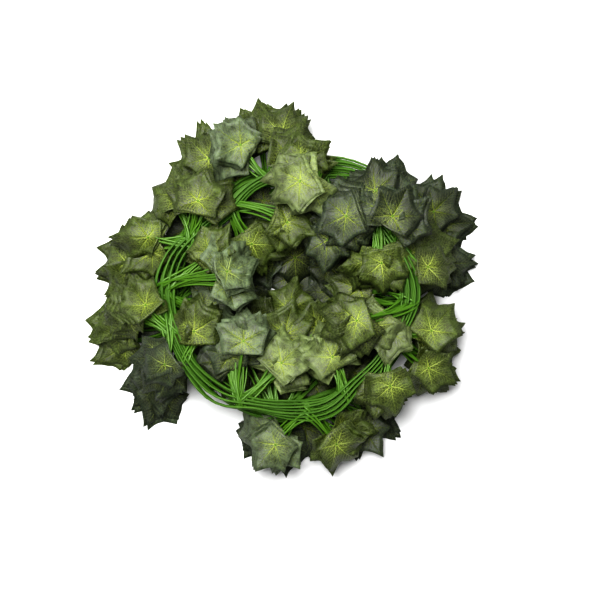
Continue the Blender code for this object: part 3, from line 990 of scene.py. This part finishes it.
class IVY_OT_add_vines(bpy.types.Operator):
    """Add the twelve ribbed vines, coiled side by side"""

    bl_idname = "ivy.add_vines"
    bl_label = "Add Vines"

    def execute(self, context):
        settings = context.scene.ivy_vines
        groups = shared_groups()
        plastic = finish_of(
            "moulded vine plastic",
            lambda name: stem_material(name, settings.vine_colour, settings.vine_colour, groups, 5.0),
        )
        steps = (len(RADIUS_OFFSETS) - 1) * POINTS_PER_STEP
        stations = sorted({spray.station for spray in SPRAYS})
        for number, place in enumerate(PATTERN, 1):
            stagger = END_STAGGER * (number % 4) * COIL_STEP
            start = COIL_START + stagger
            end = COIL_START + (len(RADIUS_OFFSETS) - 1) * COIL_STEP - stagger
            angles = [start + (end - start) * index / steps for index in range(steps + 1)]
            line = [vine_point(place, angle) for angle in angles]
            length = sum((after - before).length for before, after in zip(line, line[1:]))
            radii = []
            for angle in angles:
                nearest = min(abs(angle - station) for station in stations)
                swell = 1 + settings.swelling * math.exp(-((nearest / 1.6) ** 2))
                radii.append(settings.diameter / 2 * swell)
            radii[0] *= 0.6
            radii[-1] *= 0.6
            stem = StemMesh()
            stem.add(line, radii, settings.sides, length)
            vine = stem.build(f"ivy_vine_{number:02d}", [plastic])
            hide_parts(f"vine_{number:02d}")
            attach(vine, BODY)
        return {"FINISHED"}


class IVY_OT_add_stalks(bpy.types.Operator):
    """Add the stalks that carry each leaf off its vine"""

    bl_idname = "ivy.add_stalks"
    bl_label = "Add Stalks"

    def execute(self, context):
        settings = context.scene.ivy_vines
        leaf_settings = context.scene.ivy_leaves
        groups = shared_groups()
        plastic = finish_of(
            "moulded stalk plastic",
            lambda name: stem_material(name, settings.vine_colour, settings.stalk_colour, groups, 3.0),
        )
        for number, spray in enumerate(SPRAYS, 1):
            dice = random.Random(3000 + number)
            leaves = spray_leaves(number, spray, leaf_settings)
            places = PATTERN * STALKS_PER_VINE
            dice.shuffle(places)
            stem = StemMesh()
            for place, (pose, form, _) in zip(places, leaves):
                line, radii = stalk_line(spray, place, pose, settings, dice)
                length = sum((after - before).length for before, after in zip(line, line[1:]))
                stem.add(line, radii, 8, length)
            stalks = stem.build(f"stalks_{number:02d}", [plastic])
            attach(stalks, BODY)
        return {"FINISHED"}


# How many stalks of one spray may leave one vine, and how many spans a stalk's curve has.
STALKS_PER_VINE = 4
STALK_STEPS = 12


def stalk_line(spray, place, pose, settings, dice):
    """A stalk from inside its vine to a peg through its leaf's junction."""
    angle = spray.station + dice.uniform(-1.5, 1.5)
    start = vine_point(place, angle)
    junction = pose.translation
    normal = (pose.to_3x3() @ Vector((0, 0, 1))).normalized()
    ahead = (pose.to_3x3() @ Vector((0, 1, 0))).normalized()
    span = (junction - start).length
    along = (vine_point(place, angle + 1) - vine_point(place, angle - 1)).normalized()
    straight = (junction - start).normalized()
    if straight.dot(along) < 0:
        along = -along
    out = (straight + along * 0.35 + Vector((0, 0, dice.uniform(0.05, 0.25)))).normalized()
    below = junction - normal * 0.0016
    first = start + out * span * 0.38
    second = below - (ahead * 0.75 + straight * 0.5).normalized() * span * 0.30 - normal * 0.002
    shares = [index / STALK_STEPS for index in range(STALK_STEPS + 1)]
    line = [bezier(start, first, second, below, share) for share in shares]
    taper = settings.stalk_end - settings.stalk_base
    radii = [(settings.stalk_base + taper * share) / 2 for share in shares]
    line += [junction + normal * 0.0003, junction + normal * 0.0007]
    radii += [settings.stalk_end * 0.62, settings.stalk_end * 0.35]
    floor = settings.stalk_base / 2 + 0.0002
    line = [Vector((point.x, point.y, max(point.z, floor))) for point in line]
    return line, radii


class IVY_OT_add_leaves(bpy.types.Operator):
    """Add the stacks of printed fabric leaves"""

    bl_idname = "ivy.add_leaves"
    bl_label = "Add Leaves"

    def execute(self, context):
        settings = context.scene.ivy_leaves
        groups = shared_groups()
        tones = {
            "leaf_olive": (settings.olive, 1.0),
            "leaf_grey_green": (settings.grey, 0.8),
            "leaf_light": (settings.light, 0.9),
            "leaf_dark": (settings.dark, 0.7),
        }
        slots = {part["node"]: part["material_slot"] for part in frame["record"]["subparts"]}
        back = finish_of("leaf back cloth", lambda name: leaf_back_material(name, settings.back, groups))
        for number, spray in enumerate(SPRAYS, 1):
            node = f"leaf_spray_{number:02d}"
            tone = slots[node]
            colour, vividness = tones[tone]
            face = finish_of(
                f"{tone} print".replace("_", " "),
                lambda name: leaf_face_material(name, colour, settings.vein, groups, vividness),
            )
            stack = LeafMesh(settings.reach)
            for pose, form, tone_and_shade in spray_leaves(number, spray, settings):
                stack.add(pose, form, tone_and_shade, LEAF_FLOOR)
            leaves = stack.build(f"ivy_leaves_{number:02d}", [face, back], settings.thickness)
            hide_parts(node)
            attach(leaves, BODY)
        return {"FINISHED"}


class IVY_OT_add_stage(bpy.types.Operator):
    """Add the pale floor, the soft light and the camera above the bundle"""

    bl_idname = "ivy.add_stage"
    bl_label = "Add Stage"

    def execute(self, context):
        settings = context.scene.ivy_stage
        scene = context.scene
        floor_data = bpy.data.meshes.new("floor")
        half = 9.0
        corners = [(-half, -half, 0), (half, -half, 0), (half, half, 0), (-half, half, 0)]
        floor_data.from_pydata(corners, [], [(0, 1, 2, 3)])
        floor = bpy.data.objects.new("floor", floor_data)
        scene.collection.objects.link(floor)
        finish = finish_of("pale floor", lambda name: floor_material(name, settings.floor_colour))
        floor_data.materials.append(finish)

        scene.world = soft_room()
        middle = (CAD_LOW + CAD_HIGH) / 2
        overhead = area_light("overhead softbox", (-0.20, 0.35, 1.5), middle, 1.1, settings.overhead_power)
        scene.collection.objects.link(overhead)

        camera_data = bpy.data.cameras.new("camera")
        camera = bpy.data.objects.new("camera", camera_data)
        scene.collection.objects.link(camera)
        camera.location = (0.0235, -0.0160, settings.camera_height)
        leaf_height_seen = 0.05
        distance = settings.camera_height - leaf_height_seen
        camera_data.sensor_width = 36.0
        camera_data.lens = camera_data.sensor_width * distance / settings.view_width
        camera_data.clip_start = 0.05
        scene.camera = camera
        scene.view_settings.view_transform = "Standard"
        scene.view_settings.look = "Very High Contrast"
        return {"FINISHED"}


def soft_room():
    """White surroundings, brighter all round near the floor than overhead."""
    world = bpy.data.worlds.new("soft room")
    world.use_nodes = True
    tree = world.node_tree
    towards = tree.nodes.new("ShaderNodeTexCoord")
    parts = add_node(tree, "ShaderNodeSeparateXYZ", Vector=towards.outputs["Generated"])
    background = tree.nodes["Background"]
    background.inputs["Color"].default_value = (1.0, 1.0, 1.0, 1.0)
    fill(tree, background.inputs["Strength"], fade(tree, parts.outputs["Z"], 0.05, 0.75, 0.55, 0.05))
    return world


def floor_material(name, colour):
    """A plain matt sheet with a barely visible grain, which glows softly where it runs off far away."""
    material = new_material(name)
    tree = material.node_tree
    place = tree.nodes.new("ShaderNodeTexCoord")
    grain = add_node(tree, "ShaderNodeTexNoise", Vector=place.outputs["Object"], Scale=300.0, Detail=2.0)
    bump = add_node(tree, "ShaderNodeBump", Strength=0.1, Distance=0.0002, Height=grain.outputs["Fac"])
    away = vector_maths(tree, "LENGTH", place.outputs["Object"])
    shader = add_node(
        tree, "ShaderNodeBsdfPrincipled", Base_Color=solid(colour), Roughness=0.8, Normal=bump.outputs[0],
        Emission_Color=(1.0, 1.0, 1.0, 1.0),
        Emission_Strength=fade(tree, away, 0.6, 2.6, 0.0, 0.5),
    )
    close_material(tree, shader)
    return material


def area_light(name, place, target, size, power):
    data = bpy.data.lights.new(name, "AREA")
    data.shape = "DISK"
    data.size = size
    data.energy = power
    light = bpy.data.objects.new(name, data)
    light.location = place
    light.rotation_euler = (Vector(place) - Vector(target)).to_track_quat("Z", "Y").to_euler()
    return light


class IVY_PT_bundle(bpy.types.Panel):
    """Sizes, colours and steps of the ivy garland bundle"""

    bl_label = "Ivy Garland Bundle"
    bl_idname = "IVY_PT_bundle"
    bl_space_type = "VIEW_3D"
    bl_region_type = "UI"
    bl_category = "Ivy"

    def draw(self, context):
        titles = {"ivy_vines": "Vines and Stalks", "ivy_leaves": "Leaves", "ivy_stage": "Stage"}
        for group, kind in SETTINGS.items():
            box = self.layout.box()
            box.label(text=titles[group])
            for name in kind.__annotations__:
                box.prop(getattr(context.scene, group), name)
        for operator in STEPS:
            self.layout.operator(operator.bl_idname)


SETTINGS = {
    "ivy_vines": IvyVineSettings,
    "ivy_leaves": IvyLeafSettings,
    "ivy_stage": IvyStageSettings,
}
STEPS = (IVY_OT_add_stage, IVY_OT_add_vines, IVY_OT_add_stalks, IVY_OT_add_leaves)
CLASSES = (*SETTINGS.values(), *STEPS, IVY_PT_bundle)


def register():
    for cls in CLASSES:
        bpy.utils.register_class(cls)
    for name, group in SETTINGS.items():
        setattr(bpy.types.Scene, name, PointerProperty(type=group))


def unregister():
    for name in SETTINGS:
        delattr(bpy.types.Scene, name)
    for cls in reversed(CLASSES):
        bpy.utils.unregister_class(cls)


def main():
    register()
    bpy.ops.ivy.add_stage()
    bpy.ops.ivy.add_vines()
    bpy.ops.ivy.add_stalks()
    bpy.ops.ivy.add_leaves()
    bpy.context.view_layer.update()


if __name__ == "__main__":
    main()
